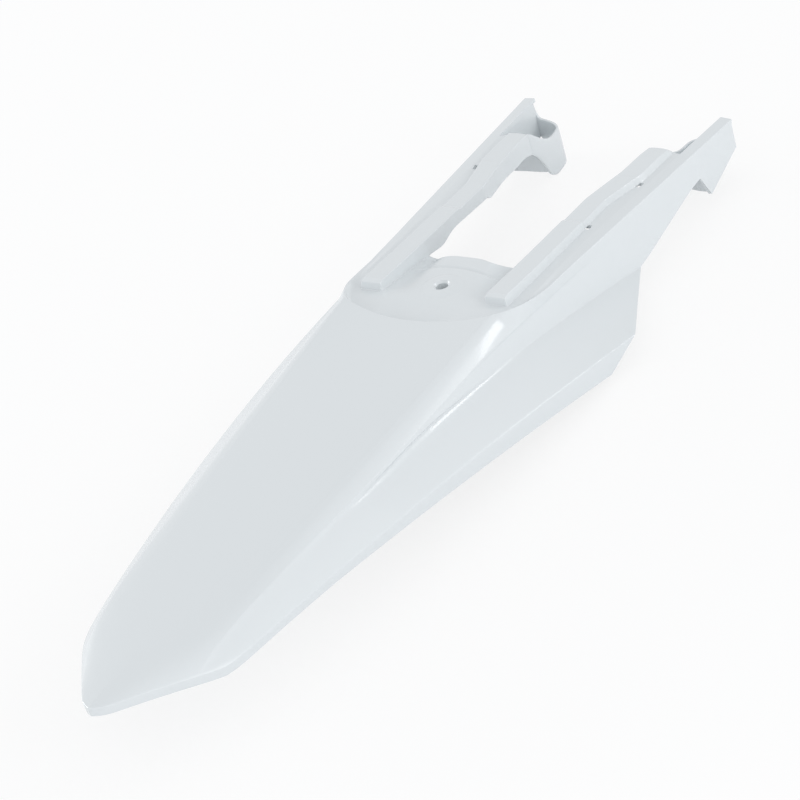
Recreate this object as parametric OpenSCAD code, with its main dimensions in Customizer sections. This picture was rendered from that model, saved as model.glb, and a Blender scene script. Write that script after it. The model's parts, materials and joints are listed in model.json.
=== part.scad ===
// Rear fender of an off-road motorcycle: one thin plastic moulding.
// X points forward, Y to the left, Z up. The origin is on the seat bolt hole.

/* [Overall size] */

// Length from the rear point to the front of the fork arms, mm
overall_length = 706; // [640:1:780]
// Wall thickness of the moulding, mm
wall = 2.6; // [2:0.1:3.5]
// Widest span across the lower edges of the side wings, mm
wing_span = 233; // [212:1:250]

/* [Blade] */

// Length of the blade from the rear point to the seat line, mm
blade_length = 404; // [380:1:430]
// How far the rear point sticks out behind its side corners, mm
point_depth = 74; // [62:1:86]
// Half width of the blade at the side corners of the rear point, mm
corner_half_width = 56.5; // [50:0.5:62]
// Height of the blade at the seat line above the rear point, mm
blade_rise = 11; // [6:0.5:18]
// Half width of the flat top where it meets the seat line, mm
seat_half = 57; // [54:0.5:59]
// Depth of the turned-down lip at the rear point, mm
lip_depth = 6.8; // [5:0.1:9]
// Extra lip depth gained toward the front of the wings, mm
lip_growth = 9.6; // [4:0.2:12]

/* [Shoulder and wings] */

// Half width across the shoulder creases where the undercut starts, mm
shoulder_half = 59.1; // [56:0.1:62]
// Height of the shoulder crease above the rear point, mm
crease_height = 1.8; // [0:0.1:4]
// Distance from the rear point to the start of the undercut, mm
undercut_start = 222; // [190:1:260]
// Depth of the undercut below the shoulder crease, mm
undercut = 3.4; // [2:0.1:5]
// Drop of the wing root from the shoulder crease to the front corner, mm
root_drop = 43.2; // [36:0.2:50]
// Drop of the lower wing edge from the rear corner to the front, mm
edge_drop = 30.5; // [24:0.5:36]
// Distance from the rear point to the front corner of the wing root, mm
root_front = 562; // [545:1:580]
// How far the lower wing edge ends behind the root corner, mm
edge_sweep = 74; // [60:1:90]
// How far the lip ends behind the front of the lower wing edge, mm
lip_sweep = 30.5; // [24:0.5:40]

/* [Seat recess] */

// Distance from the seat line to the bolt hole, mm
bolt_setback = 46; // [42:0.5:50]
// Radius of the seat bolt hole, mm
bolt_r = 4.2; // [3:0.1:5.5]
// Radius of the round boss at the bolt hole, mm
boss_r = 12.5; // [10:0.5:15]
// Thickness of the round boss, mm
boss_thick = 7.2; // [6:0.2:10]
// Depth of the raised middle of the floor below the seat line, mm
recess_depth = 4.4; // [3:0.1:6]
// Half width of the raised middle of the floor, mm
floor_half = 20; // [16:0.5:23]

/* [Fork arms] */

// Outer half width of the arms at their front ends, mm
arm_half_width = 83.5; // [80:0.5:88]
// Half width of the arms where the seat line turns into them, mm
arm_rear_half = 71.9; // [69:0.1:74]
// Half of the free gap between the arms at the recess, mm
gap_half = 40.8; // [38:0.2:45]
// Width of the raised pad on each arm, mm
pad_width = 15.2; // [12:0.2:17]
// Height of the raised pad above the outer ledge, mm
pad_height = 5.4; // [4:0.1:7]
// Width of the open strip at the hooked end, mm
strip_width = 8.7; // [7:0.1:10]
// Length of the hooked end of each arm, mm
hook_length = 55; // [50:0.5:60]
// Height of the hook nose, mm
hook_height = 28.5; // [22:0.5:34]

/* [Hidden] */

q = blade_length / 404;
bolt_x = blade_length + bolt_setback;
pad_end = overall_length - hook_length;
edge_front = root_front - edge_sweep;
lip_front = edge_front - lip_sweep;
floor_top = blade_rise - recess_depth;
datum_z = floor_top + 1.2 * q - boss_thick / 2;
eps = 0.01;

function mix(a, b, t) = a + (b - a) * t;
function clip(t) = max(0, min(1, t));
function smooth(t) = let (c = clip(t)) c * c * (3 - 2 * c);
function ramp(x, x0, x1) = clip((x - x0) / (x1 - x0));
function unit(v) = v / max(norm(v), 1e-9);

// Station along the part: shares of the blade, the recess, the wing root and the arms in turn
recess_x = bolt_x + 47 * q;
function st(x) = x <= 404 ? x * q
    : x <= 497 ? blade_length + (x - 404) * (recess_x - blade_length) / 93
    : x <= 562 ? recess_x + (x - 497) * (root_front - recess_x) / 65
    : root_front + (x - 562) * (pad_end - root_front) / 89;
arm_x0 = st(480);
pad_x0 = st(439);
notch_x = pad_end + 2 * q;
hook_x = pad_end + 10 * q;

// Outline seen from above, from the rear point to the front of the wings
function edge_line(x) = let (u = (edge_front - x) / (edge_front - point_depth))
    wing_span / 2 - (wing_span / 2 - corner_half_width) * (0.81 * u + 0.19 * u * u);
function point_line(x) = let (s = 5.3 * q)
    x * (corner_half_width + 0.5 * q - s) / point_depth + s * (1 - exp(-x / (2.4 * q)));
function outline(x) = let (d = (point_line(x) - edge_line(x)) / (3 * q))
    d > 8 ? edge_line(x) : d < -8 ? point_line(x) : edge_line(x) - 3 * q * ln(1 + exp(-d))
    + 0 * d;
function edge_z(x) = let (s = max(0, (x - point_depth) / (edge_front - point_depth)))
    point_z(0.968 * corner_half_width) + 1.1 * q * ramp(x, point_depth, st(112)) - edge_drop * s * s;
function point_z(y) = -0.155 * y - 0.0018 * y * y / q;
function lip(x) = lip_depth + lip_growth * ramp(x, st(170), lip_front);

// Long lines of the blade, heights measured from the rear point
function crown_z(x) = blade_rise * (1 - pow(1 - clip(x / blade_length), 1.8));
function flat_y(x) = let (u = max(0, 1 - x / seat_end)) seat_half * (1 - 0.36 * u - 0.24 * u * u * u);
function crease_y(x) = shoulder_half + (x < st(248) ? 0.09 * (x - st(224))
    : 0.09 * (st(248) - st(224)) + 0.0465 * (x - st(248)));
function crease_z(x) = crease_height - 0.085 * max(0, x - st(390));
function root_y(x) = shoulder_half + 0.7 * q + 0.0645 * (x - st(224));
function root_z(x) = crease_height - 2 * q
    - root_drop * pow(max(0, x - st(300)) / (root_front - st(300)), 1.35);
function cut(x) = pow(ramp(x, undercut_start, undercut_start + 50 * q), 0.8)
    * (1 - smooth(ramp(x, st(310), st(440))));

// Outer top edge of the arms and the curved seat line
function arm_z(x) = blade_rise - 9.6 * q - 0.0836 * (x - arm_x0);
function arm_y(x) = mix(arm_rear_half, arm_half_width, (x - arm_x0) / (overall_length - arm_x0));
function seat_x(y) = blade_length + 0.0045 * y * y / q;
seat_end = seat_x(seat_half);
function side_y(x) = x >= arm_x0 ? arm_y(x)
    : arm_rear_half * pow(max(0, 1 - pow((arm_x0 - x) / (arm_x0 - blade_length), 3.05)), 1 / 3.05);
function side_z(x) = arm_z(x) + 6 * q * (1 - smooth(ramp(x, st(412), st(470))));
function ledge_z(x) = arm_z(x) + 0.8 * q;
arm_flare = (arm_half_width - arm_rear_half) / 11.6;
function pad_in(x) = gap_half + arm_flare * (0.8 * ramp(x, st(575), st(581))
    + 5.2 * ramp(x, st(581), st(614)) + 1.9 * ramp(x, st(614), pad_end));
function pad_out(x) = pad_in(x) + pad_width - q * (0.7 * ramp(x, st(543), st(568))
    - 1.3 * ramp(x, st(581), st(612)) + ramp(x, st(614), pad_end));
function foot(x) = pad_out(x) + q * (1.5 + 1.2 * ramp(x, st(575), st(603)));
function pad_z(x) = ledge_z(x) + pad_height + q * (0.2 + 1.2 * (1 - ramp(x, pad_x0, st(480)))
    - 0.5 * ramp(x, st(480), st(543)) - 1.1 * ramp(x, st(543), st(545.5))
    - 0.5 * ramp(x, st(612.5), st(615)) + 0.6 * ramp(x, st(616), st(640)) - ramp(x, st(640), pad_end));
function hang(x) = q * (5.9 + 2.6 * ramp(x, st(500), st(517)) - 5.2 * ramp(x, st(517), st(529))
    + 1.9 * ramp(x, st(529), st(578)) + 3 * ramp(x, st(578), st(582))
    + 2.2 * ramp(x, st(600), st(631)) - 1.4 * ramp(x, st(631), st(640))
    + 3.5 * ramp(x, st(640), pad_end));

// Floor of the recess: raised middle with a curved groove, sides falling to the arms
function floor_mid(x) = floor_top + q * (-1.2 * (1 - ramp(x, st(424), st(431)))
    - 1.9 * ramp(x, bolt_x + 21.5 * q, bolt_x + 23 * q) + 0.9 * ramp(x, bolt_x + 23 * q, bolt_x + 26 * q)
    - 0.3 * ramp(x, bolt_x + 26 * q, recess_x));
function floor_side(x) = ledge_z(x) - 6.4 * q * ramp(x, st(442), recess_x);
function floor_z(x, y) = mix(floor_mid(x), floor_side(x), smooth((y - floor_half) / (11 * q)));
function flange_bow(y) = -q * (10.8 + 3.6 * exp(-pow((y / q - 21.5) / 5, 2))
    - 10.8 * smooth((y / q - 21.5) / 14));
function groove_bow(y) = -min(y, floor_half) * min(y, floor_half) / (140 * q);

// Lower edge of the outer arm wall, with the tooth at the front end
function low_y(x) = x <= root_front ? root_y(x)
    : mix(root_y(root_front), arm_half_width, ramp(x, root_front, overall_length));
function low_z(x) = x <= root_front ? root_z(x)
    : x <= st(637) ? root_z(root_front) - q + 12 * q * ramp(x, root_front, st(637))
    : x <= notch_x ? root_z(root_front) + 11 * q + 0.6 * q * ramp(x, st(637), notch_x)
    : x <= hook_x + 2 * q ? root_z(root_front) + q * (11.6 - 19 * ramp(x, notch_x, hook_x + 1.5 * q))
    : root_z(root_front) + q * (-7.4 + 11.8 * ramp(x, hook_x + 2 * q, overall_length - 3 * q));

// Columns: T is the outer top edge, C the shoulder crease, then down to the lip
share = [0, 0.2, 0.35, 0.52, 0.68, 0.74, 0.8, 0.85, 0.89, 0.93, 0.965, 1];
T = len(share) - 1;
C = T + 3;
K = C + 6;
starts = [41, 48, 55, 57, 59, 61.5, 66, 71, 71];
function start_x(k) = q * (k <= T ? pow(share[k], 1.5) * 34 : starts[k - T - 1]);

// Wing and lower band at base station b: column k from the crease to the lip
function rear(b) = 1 - ramp(b, st(110), st(205));
function sweep(b) = ramp(b, st(300), root_front);
function edge_pt(b, k) = let (x = b - sweep(b) * (edge_sweep + (k == K ? lip_sweep : 0)))
    [x, outline(max(x, 60 * q)) - (k == K ? 0.8 * q : 0), edge_z(x) - (k == K ? lip(x) : 0)];
function flat_wall(b) = smooth(ramp(b, st(500), st(550)));
function crest_pt(b) = let (z = crease_z(b), t = (side_z(b) - z) / max(1, side_z(b) - low_z(b)))
    [b, mix(crease_y(b), mix(side_y(b), low_y(b), t), flat_wall(b)), z];
function root_pt(b) = mix([b, low_y(b), low_z(b)], mix(crest_pt(b), edge_pt(b, K - 1), 0.1), rear(b));
function wing_pt(b, k) =
    k == C ? crest_pt(b)
    : k == C + 1 ? let (a = crest_pt(b), r = root_pt(b), h = max(0.5, a[2] - r[2]))
        mix(a, r, mix(min(0.5, 2 * q / h), 0.35, flat_wall(b)))
        - [0, 0.7 * q * ramp(b, st(340), st(420)) * (1 - flat_wall(b)), 0]
    : k == C + 2 ? root_pt(b)
    : k == C + 3 ? let (r = root_pt(b), e = edge_pt(b, K - 1))
        mix(mix(r, e, 0.07), [b, r[1] - 1.8 * q, r[2] - undercut], cut(b))
    : k == C + 4 ? mix(wing_pt(b, C + 3), edge_pt(b, K - 1), 0.5) + [0, 0, 0.7 * q]
    : edge_pt(b, k);

// Blade: u runs from the rear edge (0) to the seat line (1)
function top_pt(x, k, arc) = [x, share[k] * flat_y(x),
    crown_z(x) + q * (1.3 * arc * pow(share[k], 3) - 1.1 * (1 - arc) * pow(share[k], 2.2))];
function roll_pt(x, k, a, c, flat) = let (n = k - T - 1)
    [x, mix(a[1], c[1], [0.38, 0.72][n]), mix(a[2], c[2], mix([0.2, 0.56][n], [0.38, 0.72][n], flat))];
function blade_pt(u, k) =
    let (s = start_x(k), b = mix(s, k <= T ? seat_x(share[k] * seat_half) : seat_end, u))
    let (p = k <= T ? top_pt(b, k, 1 - smooth((1 - u) / 0.3))
        : k < C ? roll_pt(b, k, top_pt(b, T, 1 - smooth((1 - u) / 0.3)), crest_pt(b), 0)
        : wing_pt(b, k), p0 = k <= T ? top_pt(s, k, 0)
        : k < C ? roll_pt(s, k, top_pt(s, T, 0), crest_pt(s), 0) : wing_pt(s, k))
    let (y0 = outline(s) - (k == K ? 0.8 * q : 0), z0 = point_z(outline(s)) - (k == K ? lip_depth : 0))
    p + exp(-(b - s) / (26 * q)) * [s - p0[0], y0 - p0[1], z0 - p0[2]];
function lip_pt(k) = let (s = start_x(min(k, K - 1)) - q * (k == K ? 1 : k == K - 1 ? 2 : 0))
    [s + 0.6 * q, max(0, outline(s) - 0.5 * q), point_z(outline(s)) - lip_depth];

// Recess and arms: m runs from 0 at the seat line to 1 where the pads begin
function wide_y(x, k, m) = let (yt = side_y(x))
    k == T ? yt
    : mix(share[k] * yt,
        k == 0 ? 0 : k == 1 ? 0.6 * floor_half : k == 2 ? floor_half : k == 3 ? floor_half + 10 * q
        : k == 4 ? pad_in(x) - 0.5 * q : k == 5 ? pad_in(x) : k == 6 ? pad_out(x)
        : k == 7 ? foot(x) : k == 8 ? foot(x) + q * mix(1.2, 3.1, ramp(x, st(442), arm_x0))
        : k == 9 ? yt - mix(5 * q, strip_width, ramp(x, st(465), st(520))) : yt - 1.1 * wall, m);
function wide_z(x, k, y, on) =
    k < 4 ? floor_z(x, y)
    : k == 4 ? (x <= recess_x ? floor_z(x, y) : arm_z(x) - hang(x))
    : k == T ? side_z(x)
    : k == T - 1 ? (x < arm_x0 ? min(side_z(x) - 0.2 * q, ledge_z(x) + 0.4 * q) : arm_z(x) + 0.25 * q)
    : on == 0 ? floor_z(x, y)
    : k <= 6 ? pad_z(x) - (on == 1 ? 1.3 * q : 0)
    : ledge_z(x);
function wide_pt(x, k, m, on) =
    k >= C ? wing_pt(x, k) - [k > C + 2 ? 0 : 2.2 * q * ramp(x, overall_length - 3 * q, overall_length)
        * [0.86, 0.92, 1][k - C], 0, 0]
    : k > T ? roll_pt(x, k, [x, side_y(x), side_z(x)], crest_pt(x), ramp(x, st(425), st(500)))
        - [1.8 * q * ramp(x, overall_length - 3 * q, overall_length), 0, 0]
    : let (y = wide_y(x, k, m))
      [x + (k > 4 ? 0 : abs(x - recess_x) < eps ? flange_bow(y)
        : abs(x - bolt_x - 24 * q) < 3 * q && k < 3 ? groove_bow(y) : 0), y, wide_z(x, k, y, on)];
function step_pt(k) = let (x1 = seat_end + 1.6 * q)
    k >= C ? wing_pt(x1, k)
    : k > T ? roll_pt(x1, k, [x1, side_y(x1), side_z(x1)], crest_pt(x1), 0)
    : k == T ? [seat_end + 0.4 * q, side_y(seat_end + 0.4 * q), side_z(seat_end + 0.4 * q)]
    : let (y = share[k] * (seat_half + 0.6 * q), x = seat_x(y) + 1.6 * q)
      [x, y, k == T - 1 ? side_z(x) - 1.6 * q : floor_z(x, y)];

// Rows: rear lip, blade, recess step, then stations along the recess and the arms
blade_u = [0, 0.02, 0.05, 0.09, 0.135, 0.18, 0.23, 0.28, 0.34, 0.395, 0.448, 0.466, 0.52, 0.58,
    0.64, 0.7, 0.76, 0.82, 0.87, 0.92, 0.96, 1];
function in_order(v) = len(v) < 2 ? v : let (x = v[0][0])
    concat(in_order([for (s = v) if (s[0] < x) s]), [for (s = v) if (s[0] == x) s],
        in_order([for (s = v) if (s[0] > x) s]));
stations = in_order([
    [st(424), 0.4, 0], [st(431), 0.8, 0], [pad_x0 - 1.6 * q, 1, 0], [pad_x0, 1, 1],
    [st(442), 1, 2], [bolt_x + 4 * q, 1, 2], [bolt_x + 21.5 * q, 1, 2], [bolt_x + 23 * q, 1, 2],
    [bolt_x + 26 * q, 1, 2], [recess_x, 1, 2], [st(508), 1, 2], [st(517), 1, 2], [st(529), 1, 2],
    [st(543), 1, 2], [st(545.5), 1, 2], [st(548.5), 1, 2], [root_front, 1, 2], [st(575), 1, 2],
    [st(578), 1, 2], [st(582), 1, 2], [st(603), 1, 2], [st(609), 1, 2], [st(614), 1, 2],
    [st(631), 1, 2], [st(640), 1, 2], [pad_end, 1, 2], [notch_x, 1, 2], [hook_x + 1.5 * q, 1, 2],
    [hook_x + 4 * q, 1, 2], [hook_x + 20 * q, 1, 2], [overall_length - 3 * q, 1, 2],
    [overall_length, 1, 2]]);
NB = len(blade_u);
S0 = NB + 2;
NR = S0 + len(stations);
function row_x(i) = i < S0 ? -1 : stations[i - S0][0];
function half_pt(i, k) =
    i == 0 ? lip_pt(k)
    : i <= NB ? blade_pt(blade_u[i - 1], k)
    : i == NB + 1 ? step_pt(k)
    : let (s = stations[i - S0]) wide_pt(s[0], k, s[1], s[2]);

// Whether the cell in front of row i and outside column k is skin or open
function skin(i, k) = let (x = row_x(i))
    x < recess_x - eps ? true
    : k < 4 || (k < 9 && x > pad_end - eps) || (k > C + 1 && x > root_front - eps) ? false
    : !(k == 7 && (abs(x - st(543)) < eps || abs(x - st(545.5)) < eps || abs(x - st(603)) < eps));

NC = 2 * K + 1;
grid = [for (i = [0:NR - 1]) [for (c = [0:NC - 1])
    let (p = half_pt(i, abs(c - K))) [p[0] - bolt_x, p[1] * (c < K ? -1 : 1), p[2] - datum_z]]];
function side(c) = c < K ? K - 1 - c : c - K;
cell = [for (i = [0:NR - 2]) [for (c = [0:NC - 2]) skin(i, side(c))]];
facing = [for (i = [0:NR - 2]) [for (c = [0:NC - 2])
    unit(cross(grid[i + 1][c + 1] - grid[i][c], grid[i][c + 1] - grid[i + 1][c]))]];
function has(i, c) = i >= 0 && i < NR - 1 && c >= 0 && c < NC - 1 && cell[i][c];
function around(i, c) = [for (a = [i - 1, i]) for (b = [c - 1, c]) if (has(a, b)) facing[a][b]];
function total(v, n = 0) = n >= len(v) ? [0, 0, 0] : v[n] + total(v, n + 1);
function in_floor(i, c) = i > S0 && abs(c - K) < 4 && row_x(i) < recess_x + eps;
under = [for (i = [0:NR - 1]) [for (c = [0:NC - 1])
    let (f = around(i, c)) len(f) == 0 ? grid[i][c]
    : in_floor(i, c) ? grid[i][c] - [0, 0, wall]
    : let (n = unit(total(f)), d = min([for (g = f) g * n]))
      grid[i][c] - n * wall / max(d, 0.62)]];
function id(i, c) = i * NC + c;
function lid(i, c) = NR * NC + id(i, c);
function quad(a, b, c, d) = [[a, b, c], [a, c, d]];
faces = [for (i = [0:NR - 2]) for (c = [0:NC - 2]) if (cell[i][c]) each concat(
    quad(id(i, c), id(i, c + 1), id(i + 1, c + 1), id(i + 1, c)),
    quad(lid(i, c), lid(i + 1, c), lid(i + 1, c + 1), lid(i, c + 1)),
    has(i - 1, c) ? [] : quad(id(i, c), lid(i, c), lid(i, c + 1), id(i, c + 1)),
    has(i + 1, c) ? [] : quad(id(i + 1, c + 1), lid(i + 1, c + 1), lid(i + 1, c), id(i + 1, c)),
    has(i, c - 1) ? [] : quad(id(i + 1, c), lid(i + 1, c), lid(i, c), id(i, c)),
    has(i, c + 1) ? [] : quad(id(i, c + 1), lid(i, c + 1), lid(i + 1, c + 1), id(i + 1, c + 1)))];

module skin_shell() {
    polyhedron(points = concat([for (r = grid) each r], [for (r = under) each r]), faces = faces);
}

// Hook at the end of an arm: walls along a path of [x, y, top, bottom, bottom shift]
nose_low = arm_z(overall_length) - 42.5 * q;
nose_top = nose_low + hook_height;
in_y = pad_in(pad_end) + 0.2 * q;
strip_y = strip_width - wall;
strip_end = overall_length - 0.3 * q;
nose_path = [
    [pad_end - 0.6 * q, in_y, pad_z(pad_end) + 0.3 * q, arm_z(pad_end) - hang(pad_end), 0],
    [pad_end + 4 * q, in_y - 0.1 * q, nose_top + 20.5 * q, nose_low + 30.5 * q, 0],
    [hook_x - q, in_y - 0.2 * q, nose_top + 15.5 * q, nose_low + 24 * q, 0],
    [hook_x + 4 * q, in_y, nose_top + 11 * q, nose_low + 15 * q, 0],
    [hook_x + 7.5 * q, in_y + 0.3 * q, nose_top + 8 * q, nose_low + 7 * q, 0],
    [hook_x + 11 * q, in_y + 0.7 * q, nose_top + 5.5 * q, nose_low + 3.5 * q, 0],
    [hook_x + 16 * q, in_y + 1.2 * q, nose_top + 2.5 * q, nose_low + 0.5 * q, 0],
    [hook_x + 22 * q, in_y + 1.7 * q, nose_top, nose_low, 0],
    [hook_x + 31 * q, in_y + 2.5 * q, nose_top, nose_low, 0],
    [hook_x + 35.5 * q, in_y + 4.4 * q, nose_top, nose_low, 0],
    [hook_x + 39.3 * q, in_y + 8.8 * q, nose_top, nose_low + 0.5 * q, 0],
    [hook_x + 41.4 * q, in_y + 14.5 * q, nose_top, nose_low + 1.5 * q, 0],
    [hook_x + 42.7 * q, in_y + 20 * q, nose_top, nose_low + 7 * q, 0],
    [strip_end - 1.2 * q, arm_half_width - strip_width - 0.4 * q, nose_top, nose_low + 13 * q, 0],
    [strip_end, arm_half_width - strip_y, arm_z(overall_length) - q, nose_low + 13.5 * q, 0],
    [hook_x + 20 * q, arm_y(hook_x + 20 * q) - strip_y, arm_z(hook_x + 20 * q) - q,
        nose_low + 9 * q, 0],
    [pad_end - 0.6 * q, arm_y(pad_end) - strip_y, arm_z(pad_end) - 0.6 * q, nose_low + 11 * q, 11 * q]];
cross_x = pad_end - 0.4 * q;
cross_path = [
    [cross_x, arm_y(pad_end) - 0.4 * q, arm_z(pad_end) - 1.3 * q, nose_low + 9.8 * q, 12.3 * q],
    [cross_x, arm_y(pad_end) - strip_y - wall / 2, ledge_z(pad_end) - 0.6 * q,
        nose_low + 10.5 * q, 11 * q],
    [cross_x, foot(pad_end), ledge_z(pad_end) - 0.5 * q, nose_low + 10.5 * q, 12.4 * q],
    [cross_x, pad_out(pad_end) - 0.2 * q, pad_z(pad_end) - 0.5 * q, nose_low + 10 * q, 13 * q],
    [cross_x, in_y + wall / 2, pad_z(pad_end) - 0.4 * q, nose_low + 8 * q, 17 * q]];
function run(p, j) = let (i = max(0, min(len(p) - 2, j)))
    unit([p[i + 1][0] - p[i][0], p[i + 1][1] - p[i][1], 0]);
function inset(p, j) = let (a = run(p, j - 1), b = run(p, j), n = unit([-a[1] - b[1], a[0] + b[0], 0]))
    n * wall / max(0.5, n * [-a[1], a[0], 0]);
function ring(p, inner, low) = [for (j = [0:len(p) - 1])
    let (h = p[j], d = inner ? inset(p, j) : [0, 0, 0])
    [h[0] + d[0] + (low ? h[4] : 0) - bolt_x, h[1] + d[1], (low ? h[3] : h[2]) - datum_z]];
module wall_run(p) {
    n = len(p);
    e = n - 1;
    polyhedron(
        points = concat(ring(p, false, false), ring(p, false, true), ring(p, true, false),
            ring(p, true, true)),
        faces = concat(quad(0, n, 3 * n, 2 * n), quad(n + e, e, 2 * n + e, 3 * n + e),
            [for (j = [0:n - 2]) let (m = j + 1) each concat(
                quad(j, m, n + m, n + j), quad(2 * n + j, 2 * n + m, m, j),
                quad(2 * n + m, 2 * n + j, 3 * n + j, 3 * n + m),
                quad(n + j, n + m, 3 * n + m, 3 * n + j))]));
}
module hook() {
    wall_run(nose_path);
    wall_run(cross_path);
}

module rear_fender() {
    color([0.86, 0.88, 0.89]) difference() {
        union() {
            skin_shell();
            hook();
            mirror([0, 1, 0]) hook();
            translate([0, 0, -boss_thick / 2]) cylinder(r = boss_r, h = boss_thick, $fn = 64);
        }
        translate([0, 0, -boss_thick]) cylinder(r = bolt_r, h = 2 * boss_thick, $fn = 64);
    }
}

rear_fender();
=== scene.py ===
import bpy
import json
from math import cos, exp, log, pi, sin
from mathutils import Matrix, Quaternion, Vector


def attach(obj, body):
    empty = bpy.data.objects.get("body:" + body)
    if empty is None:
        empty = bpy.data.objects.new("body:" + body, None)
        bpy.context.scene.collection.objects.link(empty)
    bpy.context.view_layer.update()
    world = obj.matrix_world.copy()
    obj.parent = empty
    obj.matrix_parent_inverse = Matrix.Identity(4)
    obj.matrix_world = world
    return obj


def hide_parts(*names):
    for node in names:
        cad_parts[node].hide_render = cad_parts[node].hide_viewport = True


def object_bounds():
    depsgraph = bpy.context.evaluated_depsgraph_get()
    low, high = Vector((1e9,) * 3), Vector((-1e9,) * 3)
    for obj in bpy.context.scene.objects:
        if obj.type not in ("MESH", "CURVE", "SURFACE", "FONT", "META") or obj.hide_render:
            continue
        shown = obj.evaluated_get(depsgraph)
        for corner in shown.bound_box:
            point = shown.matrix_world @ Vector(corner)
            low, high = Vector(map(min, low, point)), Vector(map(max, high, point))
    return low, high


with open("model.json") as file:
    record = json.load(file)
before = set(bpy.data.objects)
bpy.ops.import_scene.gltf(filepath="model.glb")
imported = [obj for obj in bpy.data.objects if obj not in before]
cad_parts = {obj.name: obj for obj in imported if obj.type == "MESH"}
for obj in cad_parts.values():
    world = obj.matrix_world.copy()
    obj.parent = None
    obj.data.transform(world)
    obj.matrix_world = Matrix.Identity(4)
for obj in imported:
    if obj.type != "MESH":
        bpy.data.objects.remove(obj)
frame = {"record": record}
cad_lo, cad_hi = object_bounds()

# The CAD node is faceted, so a finer mesh of the same form stands for it.
# Sizes are in mm: stations run forward from the rear point and heights up from it, as in the part.
MM = 0.001

# Overall size and bolt hole, read from the frame
bolt = frame["record"]["mounts"][0]["dims"]
LENGTH = round((cad_hi.x - cad_lo.x) / MM, 1)
WING_SPAN = round((cad_hi.y - cad_lo.y) / MM, 1)
BOLT_X = round(-cad_lo.x / MM, 1)
BOLT_R = bolt["r_mm"]
BOSS_THICK = bolt["length_mm"]
WALL = 2.6

# Blade. The rear point's own form fades over REAR_BLEND, the lip's lower edge is in by LIP_TUCK
BLADE_LENGTH = 404
POINT_DEPTH = 74
POINT_ROUND = 5.3
CORNER_HALF = 56.5
CORNER_ROUND = 3
BLADE_RISE = 11
SEAT_HALF = 57
SEAT_CURVE = 0.0045
LIP_DEPTH = 6.8
LIP_GROWTH = 9.6
LIP_TUCK = 0.8
REAR_BLEND = 26

# Shoulder and wings. The lower edge ends behind the root by EDGE_SWEEP, the lip by LIP_SWEEP more
SHOULDER_HALF = 59.1
SHOULDER_START = 224
SHOULDER_BEND = 248
CREASE_HEIGHT = 1.8
UNDERCUT_START = 222
UNDERCUT = 3.4
ROOT_START = 300
ROOT_FRONT = 562
ROOT_DROP = 43.2
EDGE_DROP = 30.5
EDGE_SWEEP = 74
LIP_SWEEP = 30.5

# Seat recess: the floor has an opening that the round boss closes, and a groove in front of it
BOSS_R = 12.5
BOSS_OPEN = 7.5
RECESS_DEPTH = 4.4
FLOOR_HALF = 20
STEP_FRONT = 1.6
STEP_DROP = 1.6
OPEN_REAR = BOLT_X - BOSS_OPEN
OPEN_FRONT = BOLT_X + BOSS_OPEN
GROOVE_REAR = BOLT_X + 21.5
GROOVE_LOW = BOLT_X + 23
GROOVE_FRONT = BOLT_X + 26
RECESS_X = BOLT_X + 47

# Fork arms, from where the seat line has turned into them
ARM_X = 480
ARM_HALF = 83.5
ARM_REAR_HALF = 71.9
GAP_HALF = 40.8
PAD_X = 439
PAD_WIDTH = 15.2
PAD_HEIGHT = 6.8
FOOT_WIDTH = 1.5
HANG = 5.9
STRIP_WIDTH = 8.7
HOOK_LENGTH = 55
HOOK_HEIGHT = 28.5
FRONT_TURN = 3

# Stations along the arms: the two slots beside each pad, the step in the pad beside the rear slot,
# the flare of the pad's front part, the teeth of the inner wall, and the outer wall's lower bend
REAR_SLOT = 543
PAD_STEP = 545.5
REAR_SLOT_END = 548.5
FRONT_SLOT = 603
FRONT_SLOT_END = 609
FLARE_REAR = 575
FLARE_X = 581
FLARE_END = 614
TOOTH_REAR = 578
TOOTH_FRONT = 582
LONG_TOOTH = 631
TEETH_END = 640
LOW_BEND = 637

FLOOR_TOP = BLADE_RISE - RECESS_DEPTH
DATUM_Z = FLOOR_TOP + 1.2 - BOSS_THICK / 2
PAD_END = LENGTH - HOOK_LENGTH
NOTCH_X = PAD_END + 2
HOOK_X = PAD_END + 10
TOOTH_X = HOOK_X + 1.5
TOOTH_REST = HOOK_X + 4
STRIP_MID = HOOK_X + 20
TURN_X = LENGTH - FRONT_TURN
EDGE_FRONT = ROOT_FRONT - EDGE_SWEEP
LIP_FRONT = EDGE_FRONT - LIP_SWEEP


def mix(a, b, t):
    return a + (b - a) * t


def clip(t):
    return max(0.0, min(1.0, t))


def smooth(t):
    c = clip(t)
    return c * c * (3 - 2 * c)


def ramp(x, x0, x1):
    return clip((x - x0) / (x1 - x0))


# Sum of changes, each written as (start, end, change) along x
def ramps(x, changes):
    return sum(change * ramp(x, x0, x1) for x0, x1, change in changes)


def place(x, y, z):
    return Vector((x - BOLT_X, y, z - DATUM_Z)) * MM


# Outline seen from above, with a rounded corner where its two lines meet
def edge_line(x):
    u = (EDGE_FRONT - x) / (EDGE_FRONT - POINT_DEPTH)
    return WING_SPAN / 2 - (WING_SPAN / 2 - CORNER_HALF) * (0.81 * u + 0.19 * u * u)


def point_line(x):
    slope = (CORNER_HALF + 0.5 - POINT_ROUND) / POINT_DEPTH
    return x * slope + POINT_ROUND * (1 - exp(-x / 2.4))


def outline(x):
    gap = (point_line(x) - edge_line(x)) / CORNER_ROUND
    if gap > 8:
        return edge_line(x)
    if gap < -8:
        return point_line(x)
    return edge_line(x) - CORNER_ROUND * log(1 + exp(-gap))


def point_z(y):
    return -0.155 * y - 0.0018 * y * y


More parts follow.
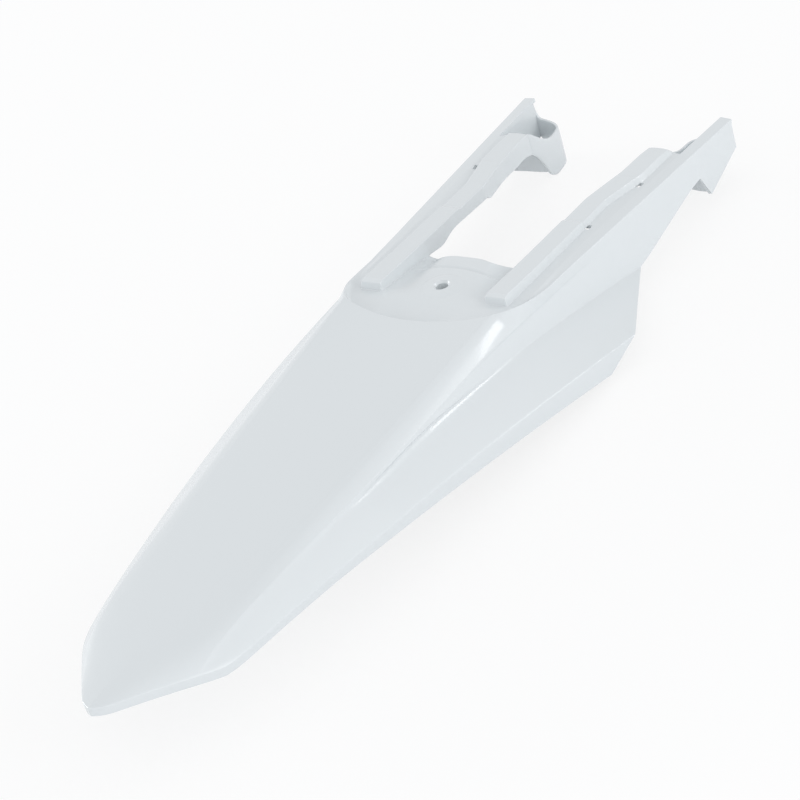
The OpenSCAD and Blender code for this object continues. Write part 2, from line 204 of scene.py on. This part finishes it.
def edge_z(x):
    s = max(0, (x - POINT_DEPTH) / (EDGE_FRONT - POINT_DEPTH))
    corner = point_z(0.968 * CORNER_HALF) + 1.1 * ramp(x, POINT_DEPTH, 112)
    return corner - EDGE_DROP * s * s


def lip(x):
    return LIP_DEPTH + LIP_GROWTH * ramp(x, 170, LIP_FRONT)


# Long lines of the blade and the wings
def seat_x(y):
    return BLADE_LENGTH + SEAT_CURVE * y * y


SEAT_END = seat_x(SEAT_HALF)


def crown_z(x):
    return BLADE_RISE * (1 - (1 - clip(x / BLADE_LENGTH)) ** 1.8)


def flat_y(x):
    u = max(0, 1 - x / SEAT_END)
    return SEAT_HALF * (1 - 0.36 * u - 0.24 * u ** 3)


def crease_y(x):
    rear = 0.09 * (min(x, SHOULDER_BEND) - SHOULDER_START)
    return SHOULDER_HALF + rear + 0.0465 * max(0, x - SHOULDER_BEND)


def crease_z(x):
    return CREASE_HEIGHT - 0.085 * max(0, x - 390)


def root_y(x):
    return SHOULDER_HALF + 0.7 + 0.0645 * (x - SHOULDER_START)


def root_z(x):
    fall = (max(0, x - ROOT_START) / (ROOT_FRONT - ROOT_START)) ** 1.35
    return CREASE_HEIGHT - 2 - ROOT_DROP * fall


def undercut_share(x):
    start = ramp(x, UNDERCUT_START, UNDERCUT_START + 50) ** 0.8
    return start * (1 - smooth(ramp(x, 310, 440)))


# Outer top edge and pads of the arms
def arm_z(x):
    return BLADE_RISE - 9.6 - 0.0836 * (x - ARM_X)


def arm_y(x):
    return mix(ARM_REAR_HALF, ARM_HALF, (x - ARM_X) / (LENGTH - ARM_X))


def side_y(x):
    if x >= ARM_X:
        return arm_y(x)
    bend = 3.05
    return ARM_REAR_HALF * max(0, 1 - ((ARM_X - x) / (ARM_X - BLADE_LENGTH)) ** bend) ** (1 / bend)


def side_z(x):
    return arm_z(x) + 6 * (1 - smooth(ramp(x, 412, 470)))


def ledge_z(x):
    return arm_z(x) + 0.8


# Pads: inner side with its flare, width, foot beside the groove, and top with its steps
PAD_FLARE = ((FLARE_REAR, FLARE_X, 0.8), (FLARE_X, FLARE_END, 5.2), (FLARE_END, PAD_END, 1.9))
PAD_WIDENING = ((REAR_SLOT, 568, -0.7), (FLARE_X, 612, 1.3), (FLARE_END, PAD_END, -1))
FOOT_WIDENING = ((FLARE_REAR, FRONT_SLOT, 1.2),)
PAD_TOP = ((PAD_X, ARM_X, -1.2), (ARM_X, REAR_SLOT, -0.5), (REAR_SLOT, PAD_STEP, -1.1),
           (612.5, 615, -0.5), (616, TEETH_END, 0.6), (TEETH_END, PAD_END, -1))


def pad_in(x):
    return GAP_HALF + ramps(x, PAD_FLARE)


def pad_out(x):
    return pad_in(x) + PAD_WIDTH + ramps(x, PAD_WIDENING)


def pad_foot(x):
    return pad_out(x) + FOOT_WIDTH + ramps(x, FOOT_WIDENING)


def pad_z(x):
    return ledge_z(x) + PAD_HEIGHT + ramps(x, PAD_TOP)


# How far the inner arm wall hangs down, with its teeth
TEETH = ((500, 517, 2.6), (517, 529, -5.2), (529, TOOTH_REAR, 1.9), (TOOTH_REAR, TOOTH_FRONT, 3),
         (600, LONG_TOOTH, 2.2), (LONG_TOOTH, TEETH_END, -1.4), (TEETH_END, PAD_END, 3.5))


def hang(x):
    return HANG + ramps(x, TEETH)


# Recess floor: raised middle with a curved groove, sides falling to the arms
def floor_mid(x):
    step = 1.2 * (1 - ramp(x, 424, 431))
    groove = 1.9 * ramp(x, GROOVE_REAR, GROOVE_LOW) - 0.9 * ramp(x, GROOVE_LOW, GROOVE_FRONT)
    return FLOOR_TOP - step - groove - 0.3 * ramp(x, GROOVE_FRONT, RECESS_X)


def floor_z(x, y):
    side = ledge_z(x) - 6.4 * ramp(x, 442, RECESS_X)
    return mix(floor_mid(x), side, smooth((y - FLOOR_HALF) / 11))


def flange_bow(y):
    out = y - 21.5
    return -(10.8 + 3.6 * exp(-(out / 5) ** 2) - 10.8 * smooth(out / 14))


def groove_bow(y):
    return -min(y, FLOOR_HALF) ** 2 / 140


# Lower edge of the outer arm wall, with the notch and the tooth at the front end
LOW_EDGE = ((ROOT_FRONT, LOW_BEND, 12), (LOW_BEND, NOTCH_X, 0.6), (NOTCH_X, TOOTH_X, -19),
            (HOOK_X + 2, TURN_X, 11.8))


def low_y(x):
    if x <= ROOT_FRONT:
        return root_y(x)
    return mix(root_y(ROOT_FRONT), ARM_HALF, ramp(x, ROOT_FRONT, LENGTH))


def low_z(x):
    step = 1 if x > ROOT_FRONT else 0
    return root_z(min(x, ROOT_FRONT)) - step + ramps(x, LOW_EDGE)


# Columns: 0 is the middle, T the outer top edge, C the shoulder crease, K the lip
SHARE = [0, 0.2, 0.35, 0.52, 0.68, 0.74, 0.8, 0.85, 0.89, 0.93, 0.965, 1]
T = len(SHARE) - 1
C = T + 3
K = C + 6
COLUMNS = 2 * K + 1
STARTS = [41, 48, 55, 57, 59, 61.5, 66, 71, 71]


def start_x(k):
    return SHARE[k] ** 1.5 * 34 if k <= T else STARTS[k - T - 1]


# Wing and lower band at base station b, column k from the crease to the lip
def edge_pt(b, k):
    low = k == K
    x = b - ramp(b, ROOT_START, ROOT_FRONT) * (EDGE_SWEEP + (LIP_SWEEP if low else 0))
    y = outline(max(x, 60)) - (LIP_TUCK if low else 0)
    return Vector((x, y, edge_z(x) - (lip(x) if low else 0)))


def flat_wall(b):
    return smooth(ramp(b, 500, 550))


def crest_pt(b):
    z = crease_z(b)
    t = (side_z(b) - z) / max(1, side_z(b) - low_z(b))
    wall_y = mix(side_y(b), low_y(b), t)
    return Vector((b, mix(crease_y(b), wall_y, flat_wall(b)), z))


def root_pt(b):
    rear = 1 - ramp(b, 110, 205)
    return Vector((b, low_y(b), low_z(b))).lerp(crest_pt(b).lerp(edge_pt(b, K - 1), 0.1), rear)


def wing_pt(b, k):
    crest = crest_pt(b)
    root = root_pt(b)
    edge = edge_pt(b, K - 1)
    if k == C:
        return crest
    if k == C + 1:
        flat = flat_wall(b)
        height = max(0.5, crest.z - root.z)
        dent = 0.7 * ramp(b, 340, 420) * (1 - flat)
        return crest.lerp(root, mix(min(0.5, 2 / height), 0.35, flat)) - Vector((0, dent, 0))
    if k == C + 2:
        return root
    if k == C + 3:
        under = Vector((b, root.y - 1.8, root.z - UNDERCUT))
        return root.lerp(edge, 0.07).lerp(under, undercut_share(b))
    if k == C + 4:
        return wing_pt(b, C + 3).lerp(edge, 0.5) + Vector((0, 0, 0.7))
    return edge_pt(b, k)


# Blade: u runs from the rear edge (0) to the seat line (1)
def top_pt(x, k, arc):
    s = SHARE[k]
    bow = 1.3 * arc * s ** 3 - 1.1 * (1 - arc) * s ** 2.2
    return Vector((x, s * flat_y(x), crown_z(x) + bow))


def roll_pt(x, k, top, crest, flat):
    n = k - T - 1
    t = (0.38, 0.72)[n]
    fall = mix((0.2, 0.56)[n], t, flat)
    return Vector((x, mix(top.y, crest.y, t), mix(top.z, crest.z, fall)))


def blade_at(b, k, arc):
    if k <= T:
        return top_pt(b, k, arc)
    if k < C:
        return roll_pt(b, k, top_pt(b, T, arc), crest_pt(b), 0)
    return wing_pt(b, k)


def blade_pt(u, k):
    s = start_x(k)
    b = mix(s, seat_x(SHARE[k] * SEAT_HALF) if k <= T else SEAT_END, u)
    low = k == K
    y = outline(s) - (LIP_TUCK if low else 0)
    rear = Vector((s, y, point_z(outline(s)) - (LIP_DEPTH if low else 0)))
    pull = exp(-(b - s) / REAR_BLEND)
    return blade_at(b, k, 1 - smooth((1 - u) / 0.3)) + pull * (rear - blade_at(s, k, 0))


def lip_pt(k):
    s = start_x(min(k, K - 1)) - (1 if k == K else 2 if k == K - 1 else 0)
    return Vector((s + 0.6, max(0, outline(s) - 0.5), point_z(outline(s)) - LIP_DEPTH))


# Recess and arms: m runs from 0 at the seat line to 1 where the pads begin,
# pad is 0 before the pads, 1 at their low rear edge and 2 along them
def wide_y(x, k, m):
    outer = side_y(x)
    if k == T:
        return outer
    middle = BOSS_OPEN if x < BOLT_X + 15 else 0.6 * FLOOR_HALF
    target = (0, middle, FLOOR_HALF, FLOOR_HALF + 10, pad_in(x) - 0.5, pad_in(x), pad_out(x),
              pad_foot(x), pad_foot(x) + mix(1.2, 3.1, ramp(x, 442, ARM_X)),
              outer - mix(5, STRIP_WIDTH, ramp(x, 465, 520)), outer - 1.1 * WALL)
    return mix(SHARE[k] * outer, target[k], m)


def wide_z(x, k, y, pad):
    if k < 4:
        return floor_z(x, y)
    if k == 4:
        return floor_z(x, y) if x <= RECESS_X else arm_z(x) - hang(x)
    if k == T:
        return side_z(x)
    if k == T - 1:
        return min(side_z(x) - 0.2, ledge_z(x) + 0.4) if x < ARM_X else arm_z(x) + 0.25
    if pad == 0:
        return floor_z(x, y)
    if k > 6:
        return ledge_z(x)
    return pad_z(x) - (1.3 if pad == 1 else 0)


def wide_pt(x, k, m, pad):
    turn = ramp(x, TURN_X, LENGTH)
    if k > C + 2:
        return wing_pt(x, k)
    if k >= C:
        return wing_pt(x, k) - Vector((2.2 * turn * (0.86, 0.92, 1)[k - C], 0, 0))
    if k > T:
        edge = Vector((x, side_y(x), side_z(x)))
        return roll_pt(x, k, edge, crest_pt(x), ramp(x, 425, 500)) - Vector((1.8 * turn, 0, 0))
    y = wide_y(x, k, m)
    bow = 0
    if k <= 4 and x == RECESS_X:
        bow = flange_bow(y)
    elif k < 3 and x in (GROOVE_REAR, GROOVE_LOW, GROOVE_FRONT):
        bow = groove_bow(y)
    return Vector((x + bow, y, wide_z(x, k, y, pad)))


def step_pt(k):
    x = SEAT_END + STEP_FRONT
    if k >= C:
        return wing_pt(x, k)
    if k > T:
        return roll_pt(x, k, Vector((x, side_y(x), side_z(x))), crest_pt(x), 0)
    if k == T:
        x = SEAT_END + 0.4
        return Vector((x, side_y(x), side_z(x)))
    y = SHARE[k] * (SEAT_HALF + 0.6)
    x = seat_x(y) + STEP_FRONT
    return Vector((x, y, side_z(x) - STEP_DROP if k == T - 1 else floor_z(x, y)))


# Rows: rear lip, BLADE_ROWS along the blade, recess step, then from WIDE_ROW on
# the stations (x, m, pad) along the recess and the arms
BLADE_U = [0, 0.02, 0.05, 0.09, 0.135, 0.18, 0.23, 0.28, 0.34, 0.395, 0.448, 0.466, 0.52, 0.58,
           0.64, 0.7, 0.76, 0.82, 0.87, 0.92, 0.96, 1]
PAD_REAR = PAD_X - 1.6
ALONG = [OPEN_REAR, OPEN_FRONT, GROOVE_REAR, GROOVE_LOW, GROOVE_FRONT, RECESS_X, 508, 517, 529,
         REAR_SLOT, PAD_STEP, REAR_SLOT_END, ROOT_FRONT, FLARE_REAR, TOOTH_REAR, TOOTH_FRONT,
         FRONT_SLOT, FRONT_SLOT_END, FLARE_END, LONG_TOOTH, TEETH_END, PAD_END, NOTCH_X, TOOTH_X,
         TOOTH_REST, STRIP_MID, TURN_X, LENGTH]
STATIONS = [(424, 0.4, 0), (431, 0.8, 0), (PAD_REAR, 1, 0), (PAD_X, 1, 1)]
STATIONS += [(x, 1, 2) for x in ALONG]
BLADE_ROWS = len(BLADE_U)
WIDE_ROW = BLADE_ROWS + 2
ROWS = WIDE_ROW + len(STATIONS)


def row_x(i):
    return STATIONS[i - WIDE_ROW][0] if i >= WIDE_ROW else -1


ROOT_ROW = next(i for i in range(ROWS) if row_x(i) == ROOT_FRONT)
PAD_ROW = next(i for i in range(ROWS) if row_x(i) == PAD_REAR)


def half_pt(i, k):
    if i == 0:
        return lip_pt(k)
    if i <= BLADE_ROWS:
        return blade_pt(BLADE_U[i - 1], k)
    if i == BLADE_ROWS + 1:
        return step_pt(k)
    x, m, pad = STATIONS[i - WIDE_ROW]
    return wide_pt(x, k, m, pad)


# Whether the cell in front of row i and outside column k is skin or open
def is_skin(i, k):
    x = row_x(i)
    if x < RECESS_X:
        return x != OPEN_REAR or k > 0
    if k < 4 or (k < 9 and x >= PAD_END) or (k > C + 1 and x >= ROOT_FRONT):
        return False
    return k != 7 or x not in (REAR_SLOT, PAD_STEP, FRONT_SLOT)


def cell_side(c):
    return K - 1 - c if c < K else c - K


def top_grid():
    grid = []
    for i in range(ROWS):
        half = [half_pt(i, k) for k in range(K + 1)]
        grid.append([Vector((p.x, -p.y, p.z)) for p in half[:0:-1]] + half)
    return grid


# The inner face: each point goes in by the wall thickness, square to the cells around it
def under_pt(top, cell, i, c):
    around = [(a, b) for a in (i - 1, i) for b in (c - 1, c)
              if 0 <= a < ROWS - 1 and 0 <= b < COLUMNS - 1 and cell[a][b]]
    if not around:
        return top[i][c].copy()
    if i > WIDE_ROW and abs(c - K) < 4 and row_x(i) <= RECESS_X:
        return top[i][c] - Vector((0, 0, WALL))
    face = [(top[a + 1][b + 1] - top[a][b]).cross(top[a][b + 1] - top[a + 1][b]).normalized()
            for a, b in around]
    n = sum(face, Vector()).normalized()
    lean = min(f.dot(n) for f in face)
    return top[i][c] - n * WALL / max(lean, 0.62)


# Lines that stay tight after smoothing get an extra line on each side
SHARP_X = {PAD_REAR, PAD_X, OPEN_REAR, GROOVE_REAR, GROOVE_LOW, GROOVE_FRONT, REAR_SLOT, PAD_STEP,
           ROOT_FRONT, TOOTH_REAR, TOOTH_FRONT, FRONT_SLOT, FRONT_SLOT_END, PAD_END, NOTCH_X, TOOTH_X,
           TOOTH_REST, TURN_X, LENGTH}
ROW_EDGE = {1, BLADE_ROWS, BLADE_ROWS + 1} | {i for i in range(ROWS) if row_x(i) in SHARP_X}
COL_EDGE = {0, 4, 5, 6, 7, 8, 9, T, C, C + 2, K - 1, K}
OUTER_ROUND = 0.9
INNER_ROUND = 0.5
SOFT_EDGE = 1.7


# How tight a row's line is at column k: across the wings it is tight only from the wing root on
def row_sharp(i, k):
    if i in (BLADE_ROWS, BLADE_ROWS + 1):
        return 1 if k < T else 0
    return 0 if 1 < i < ROOT_ROW and k >= T else 1


# How tight a column's line is at row i: some fade in along the blade, those of the pads start there
def col_sharp(i, k):
    if k == 0:
        return 1 if i < 3 else 0
    if k in (C, K - 1, K):
        return 1
    if k == C + 2:
        return clip((i - 8) / 4)
    if k == T:
        return clip((i - BLADE_ROWS + 2) / 3)
    return 1 if i >= PAD_ROW else 0


# A point beside p on the way to q, at distance r where the line is tight
def toward(p, q, sharp, r):
    v = q - p
    return p + v * mix(0.4, min(0.42, r / max(v.length, 1e-6)), sharp)


# The sides of line n out of count on which a line is made; 0 is the line itself
def sides(n, count, edge):
    return [s for s in (-1, 0, 1) if s == 0 or (edge and 0 <= n + s < count)]


def with_rows(grid, r):
    rows, base = [], []
    for i, row in enumerate(grid):
        near = r * (SOFT_EDGE if i == 1 else 1)
        for side in sides(i, ROWS, i in ROW_EDGE):
            rows.append([toward(p, q, row_sharp(i, abs(c - K)), near)
                         for c, (p, q) in enumerate(zip(row, grid[i + side]))])
            base.append((i, side))
    return rows, base


def with_columns(rows, row_base, r):
    grid = []
    for row, (i, _) in zip(rows, row_base):
        line, base = [], []
        for c, p in enumerate(row):
            k = abs(c - K)
            near = r * (SOFT_EDGE if k in (T, K - 1) else 1)
            for side in sides(c, COLUMNS, k in COL_EDGE):
                line.append(toward(p, row[c + side], col_sharp(i, k), near))
                base.append((c, side))
        grid.append(line)
    return grid, base


def cell_of(base):
    return base[0] - 1 if base[1] < 0 else base[0]


def new_mesh(name, points, faces):
    mesh = bpy.data.meshes.new(name)
    mesh.from_pydata(points, [], faces)
    mesh.polygons.foreach_set("use_smooth", [True] * len(mesh.polygons))
    return mesh


def mark_sharp(mesh, chosen):
    sharp = mesh.attributes.new("sharp_edge", "BOOLEAN", "EDGE")
    for n in chosen:
        sharp.data[n].value = True


# The skin: both faces of the wall, and a rim wherever a cell has no neighbour
def shell_mesh(name):
    top = top_grid()
    cell = [[is_skin(i, cell_side(c)) for c in range(COLUMNS - 1)] for i in range(ROWS - 1)]
    under = [[under_pt(top, cell, i, c) for c in range(COLUMNS)] for i in range(ROWS)]
    out_rows, row_base = with_rows(top, OUTER_ROUND)
    in_rows, row_base = with_rows(under, INNER_ROUND)
    upper, col_base = with_columns(out_rows, row_base, OUTER_ROUND)
    lower, col_base = with_columns(in_rows, row_base, INNER_ROUND)
    nr, nc = len(upper), len(upper[0])
    layer = nr * nc

    def solid(i, c):
        if not (0 <= i < nr - 1 and 0 <= c < nc - 1):
            return False
        return cell[cell_of(row_base[i])][cell_of(col_base[c])]

    points = [p for row in upper + lower for p in row]
    faces, rims = [], set()

    def rim(a, b):
        low_a, low_b = a + layer, b + layer
        faces.append((a, low_a, low_b, b))
        rims.add((min(a, b), max(a, b)))
        rims.add((min(low_a, low_b), max(low_a, low_b)))

    for i in range(nr - 1):
        for c in range(nc - 1):
            if not solid(i, c):
                continue
            a, b = i * nc + c, i * nc + c + 1
            d, e = b + nc, a + nc
            faces.append((a, b, d, e))
            faces.append((a + layer, e + layer, d + layer, b + layer))
            if not solid(i - 1, c):
                rim(a, b)
            if not solid(i + 1, c):
                rim(d, e)
            if not solid(i, c - 1):
                rim(e, a)
            if not solid(i, c + 1):
                rim(b, d)
    used = sorted({v for f in faces for v in f})
    index = {v: n for n, v in enumerate(used)}
    rims = {(index[a], index[b]) for a, b in rims}
    mesh = new_mesh(name, [place(*points[v]) for v in used], [[index[v] for v in f] for f in faces])
    chosen = [e.index for e in mesh.edges if tuple(sorted(e.vertices)) in rims]
    mark_sharp(mesh, chosen)
    crease = mesh.attributes.new("crease_edge", "FLOAT", "EDGE")
    for n in chosen:
        crease.data[n].value = 1
    return mesh


# Hooked arm ends: walls along a path of (x, y, top, bottom, bottom shift)
NOSE_LOW = arm_z(LENGTH) - 42.5
NOSE_TOP = NOSE_LOW + HOOK_HEIGHT
IN_Y = pad_in(PAD_END) + 0.2
STRIP_Y = STRIP_WIDTH - WALL
STRIP_END = LENGTH - 0.3
HOOK_ROUND = 0.5
NOSE = [
    (PAD_END - 0.6, IN_Y, pad_z(PAD_END) + 0.3, arm_z(PAD_END) - hang(PAD_END), 0),
    (PAD_END + 4, IN_Y - 0.1, NOSE_TOP + 20.5, NOSE_LOW + 30.5, 0),
    (HOOK_X - 1, IN_Y - 0.2, NOSE_TOP + 15.5, NOSE_LOW + 24, 0),
    (HOOK_X + 4, IN_Y, NOSE_TOP + 11, NOSE_LOW + 15, 0),
    (HOOK_X + 7.5, IN_Y + 0.3, NOSE_TOP + 8, NOSE_LOW + 7, 0),
    (HOOK_X + 11, IN_Y + 0.7, NOSE_TOP + 5.5, NOSE_LOW + 3.5, 0),
    (HOOK_X + 16, IN_Y + 1.2, NOSE_TOP + 2.5, NOSE_LOW + 0.5, 0),
    (HOOK_X + 22, IN_Y + 1.7, NOSE_TOP, NOSE_LOW, 0),
    (HOOK_X + 31, IN_Y + 2.5, NOSE_TOP, NOSE_LOW, 0),
    (HOOK_X + 35.5, IN_Y + 4.4, NOSE_TOP, NOSE_LOW, 0),
    (HOOK_X + 39.3, IN_Y + 8.8, NOSE_TOP, NOSE_LOW + 0.5, 0),
    (HOOK_X + 41.4, IN_Y + 14.5, NOSE_TOP, NOSE_LOW + 1.5, 0),
    (HOOK_X + 42.7, IN_Y + 20, NOSE_TOP, NOSE_LOW + 7, 0),
    (STRIP_END - 1.2, ARM_HALF - STRIP_WIDTH - 0.4, NOSE_TOP, NOSE_LOW + 13, 0),
    (STRIP_END, ARM_HALF - STRIP_Y, arm_z(LENGTH) - 1, NOSE_LOW + 13.5, 0),
    (STRIP_MID, arm_y(STRIP_MID) - STRIP_Y, arm_z(STRIP_MID) - 1, NOSE_LOW + 9, 0),
    (PAD_END - 0.6, arm_y(PAD_END) - STRIP_Y, arm_z(PAD_END) - 0.6, NOSE_LOW + 11, 11)]
CROSS_X = PAD_END - 0.4
CROSS = [
    (CROSS_X, arm_y(PAD_END) - 0.4, arm_z(PAD_END) - 1.3, NOSE_LOW + 9.8, 12.3),
    (CROSS_X, arm_y(PAD_END) - STRIP_Y - WALL / 2, ledge_z(PAD_END) - 0.6, NOSE_LOW + 10.5, 11),
    (CROSS_X, pad_foot(PAD_END), ledge_z(PAD_END) - 0.5, NOSE_LOW + 10.5, 12.4),
    (CROSS_X, pad_out(PAD_END) - 0.2, pad_z(PAD_END) - 0.5, NOSE_LOW + 10, 13),
    (CROSS_X, IN_Y + WALL / 2, pad_z(PAD_END) - 0.4, NOSE_LOW + 8, 17)]


# One wall: at each point of its path a section of eight corners, rounded at top and bottom
def wall_piece(path, side, points, faces):
    flat = [Vector((x, y, 0)) for x, y, *_ in path]
    run = [(b - a).normalized() for a, b in zip(flat, flat[1:])]
    start = len(points)
    r = HOOK_ROUND
    for j, (x, y, top, low, shift) in enumerate(path):
        a, b = run[max(0, j - 1)], run[min(j, len(run) - 1)]
        n = Vector((-a.y - b.y, a.x + b.x, 0)).normalized()
        n *= WALL / max(0.5, n.dot(Vector((-a.y, a.x, 0))))
        for z, t in ((top - r, 0), (top, 0.18), (top, 0.82), (top - r, 1),
                     (low + r, 1), (low, 0.82), (low, 0.18), (low + r, 0)):
            s = shift * (top - z) / (top - low)
            points.append(place(x + s + n.x * t, side * (y + n.y * t), z))
    count = len(path)
    for j in range(count - 1):
        for m in range(8):
            a, b = start + 8 * j + m, start + 8 * j + (m + 1) % 8
            quad = (a, b, b + 8, a + 8)
            faces.append(quad if side > 0 else quad[::-1])
    for j, turn in ((0, 1), (count - 1, -1)):
        for quad in ((7, 0, 3, 4), (0, 1, 2, 3), (4, 5, 6, 7)):
            cap = tuple(start + 8 * j + m for m in quad)
            faces.append(cap[::-1] if turn * side > 0 else cap)


def denser(path):
    out = []
    for a, b in zip(path, path[1:]):
        far = abs(a[0] - b[0]) + abs(a[1] - b[1]) > 7
        parts = (0, 0.06, 0.94) if far and b[0] < a[0] else (0,)
        out += [tuple(mix(u, v, t) for u, v in zip(a, b)) for t in parts]
    return out + [path[-1]]


def hook_mesh(name):
    points, faces = [], []
    for side in (1, -1):
        wall_piece(denser(NOSE), side, points, faces)
        wall_piece(CROSS, side, points, faces)
    return new_mesh(name, points, faces)


# Round boss with the bolt hole; its rim slopes down into the recess floor
BOSS_ROUND = 0.4
BOSS_SIDES = 64


def boss_mesh(name):
    half = BOSS_THICK / 2
    r = BOSS_ROUND
    profile = [(BOLT_R, -half + r), (BOLT_R, half - 4 * r), (BOLT_R + 4 * r, half),
               (BOSS_R - 5, half - 0.05), (BOSS_R, half - 0.75), (BOSS_R + 4, half - 1.6),
               (BOSS_R + 3, half - 2.2), (BOSS_R, half - 2.2), (BOSS_R, -half + r),
               (BOSS_R - r, -half), (BOLT_R + r, -half)]
    n = BOSS_SIDES
    points = [Vector((a * cos(2 * pi * j / n), a * sin(2 * pi * j / n), z)) * MM
              for j in range(n) for a, z in profile]
    m = len(profile)
    faces = []
    for j in range(n):
        step = m if j < n - 1 else m - n * m
        for k in range(m):
            a, b = j * m + k, j * m + (k + 1) % m
            faces.append((a, a + step, b + step, b))
    mesh = new_mesh(name, points, faces)
    mark_sharp(mesh, [e.index for e in mesh.edges if (e.vertices[0] - e.vertices[1]) % m == 0])
    return mesh


# Material: white moulded plastic with a soft gloss and a very fine grain
def plastic(name):
    material = bpy.data.materials.new(name)
    material.use_nodes = True
    tree = material.node_tree
    surface = tree.nodes["Principled BSDF"]
    surface.inputs["Base Color"].default_value = (0.73, 0.767, 0.785, 1)
    surface.inputs["Roughness"].default_value = 0.24
    surface.inputs["IOR"].default_value = 1.49
    surface.inputs["Coat Weight"].default_value = 0.4
    surface.inputs["Coat Roughness"].default_value = 0.09
    coords = tree.nodes.new("ShaderNodeTexCoord")
    grain = tree.nodes.new("ShaderNodeTexNoise")
    grain.inputs["Scale"].default_value = 900
    grain.inputs["Detail"].default_value = 2
    bump = tree.nodes.new("ShaderNodeBump")
    bump.inputs["Strength"].default_value = 0.05
    bump.inputs["Distance"].default_value = 0.0002
    tree.links.new(coords.outputs["Object"], grain.inputs["Vector"])
    tree.links.new(grain.outputs["Fac"], bump.inputs["Height"])
    tree.links.new(bump.outputs["Normal"], surface.inputs["Normal"])
    return material


def add_piece(mesh, material, levels):
    piece = bpy.data.objects.new(mesh.name, mesh)
    bpy.context.scene.collection.objects.link(piece)
    mesh.materials.append(material)
    if levels:
        round_off = piece.modifiers.new("smooth", "SUBSURF")
        round_off.levels = levels
        round_off.render_levels = levels
        round_off.boundary_smooth = "PRESERVE_CORNERS"
    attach(piece, "root")
    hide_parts("rear_fender")


white = plastic("white_plastic")
add_piece(shell_mesh("fender_skin"), white, 2)
add_piece(hook_mesh("fender_hooks"), white, 2)
add_piece(boss_mesh("fender_boss"), white, 0)


# Floor: pale, nearly white to the camera, with the object's soft shadow
def floor_material(name):
    material = bpy.data.materials.new(name)
    material.use_nodes = True
    tree = material.node_tree
    surface = tree.nodes["Principled BSDF"]
    surface.inputs["Base Color"].default_value = (0.93, 0.935, 0.94, 1)
    surface.inputs["Roughness"].default_value = 0.95
    surface.inputs["Specular IOR Level"].default_value = 0.1
    glow = tree.nodes.new("ShaderNodeEmission")
    glow.inputs["Strength"].default_value = 1
    path = tree.nodes.new("ShaderNodeLightPath")
    seen = tree.nodes.new("ShaderNodeMath")
    seen.operation = "MULTIPLY"
    seen.inputs[1].default_value = 0.8
    blend = tree.nodes.new("ShaderNodeMixShader")
    tree.links.new(path.outputs["Is Camera Ray"], seen.inputs[0])
    tree.links.new(seen.outputs[0], blend.inputs["Fac"])
    tree.links.new(surface.outputs[0], blend.inputs[1])
    tree.links.new(glow.outputs[0], blend.inputs[2])
    tree.links.new(blend.outputs[0], tree.nodes["Material Output"].inputs["Surface"])
    return material


bpy.ops.mesh.primitive_plane_add(size=14, location=(0, 0, cad_lo.z - 0.0005))
floor = bpy.context.object
floor.name = "floor"
floor.data.materials.append(floor_material("floor"))

# World: even pale light
world = bpy.data.worlds.new("studio")
bpy.context.scene.world = world
world.use_nodes = True
sky = world.node_tree.nodes["Background"]
sky.inputs["Color"].default_value = (0.98, 0.987, 1.0, 1)
sky.inputs["Strength"].default_value = 0.8


# A soft lamp that aims at the origin, turned about its own axis by roll
def area(name, place_m, power, size, roll=0):
    lamp = bpy.data.lights.new(name, "AREA")
    lamp.energy = power
    lamp.shape = "RECTANGLE"
    lamp.size, lamp.size_y = size
    holder = bpy.data.objects.new(name, lamp)
    bpy.context.scene.collection.objects.link(holder)
    holder.location = place_m
    aim = (-Vector(place_m)).to_track_quat("-Z", "Y")
    holder.rotation_euler = (aim @ Quaternion((0, 0, 1), roll)).to_euler()


area("streak", (1.57, -1.42, 1.13), 4.5, (0.3, 0.8), -0.57)
area("side", (-0.3, -2.2, 0.9), 10, (1.2, 1.2))
area("rear", (-2.2, -0.7, 0.6), 3.5, (1.2, 0.8))
area("left", (-0.3, 2.4, 0.4), 20, (1.6, 0.6))

# Camera at the photograph's viewing angle
CAMERA_PLACE = (-2.4561, -1.8999, 1.9195)
CAMERA_RIGHT = Vector((0.48781, -0.84337, -0.22531))
CAMERA_DOWN = Vector((-0.57412, -0.11551, -0.81058))
CAMERA_INTO = Vector((0.65760, 0.52476, -0.54054))
camera_data = bpy.data.cameras.new("camera")
camera_data.sensor_width = 36
camera_data.lens = 247.5
camera_data.clip_end = 40
camera = bpy.data.objects.new("camera", camera_data)
bpy.context.scene.collection.objects.link(camera)
turned = Matrix((CAMERA_RIGHT, -CAMERA_DOWN, -CAMERA_INTO)).transposed().to_4x4()
camera.matrix_world = Matrix.Translation(CAMERA_PLACE) @ turned
bpy.context.scene.camera = camera
bpy.context.scene.view_settings.view_transform = "Standard"
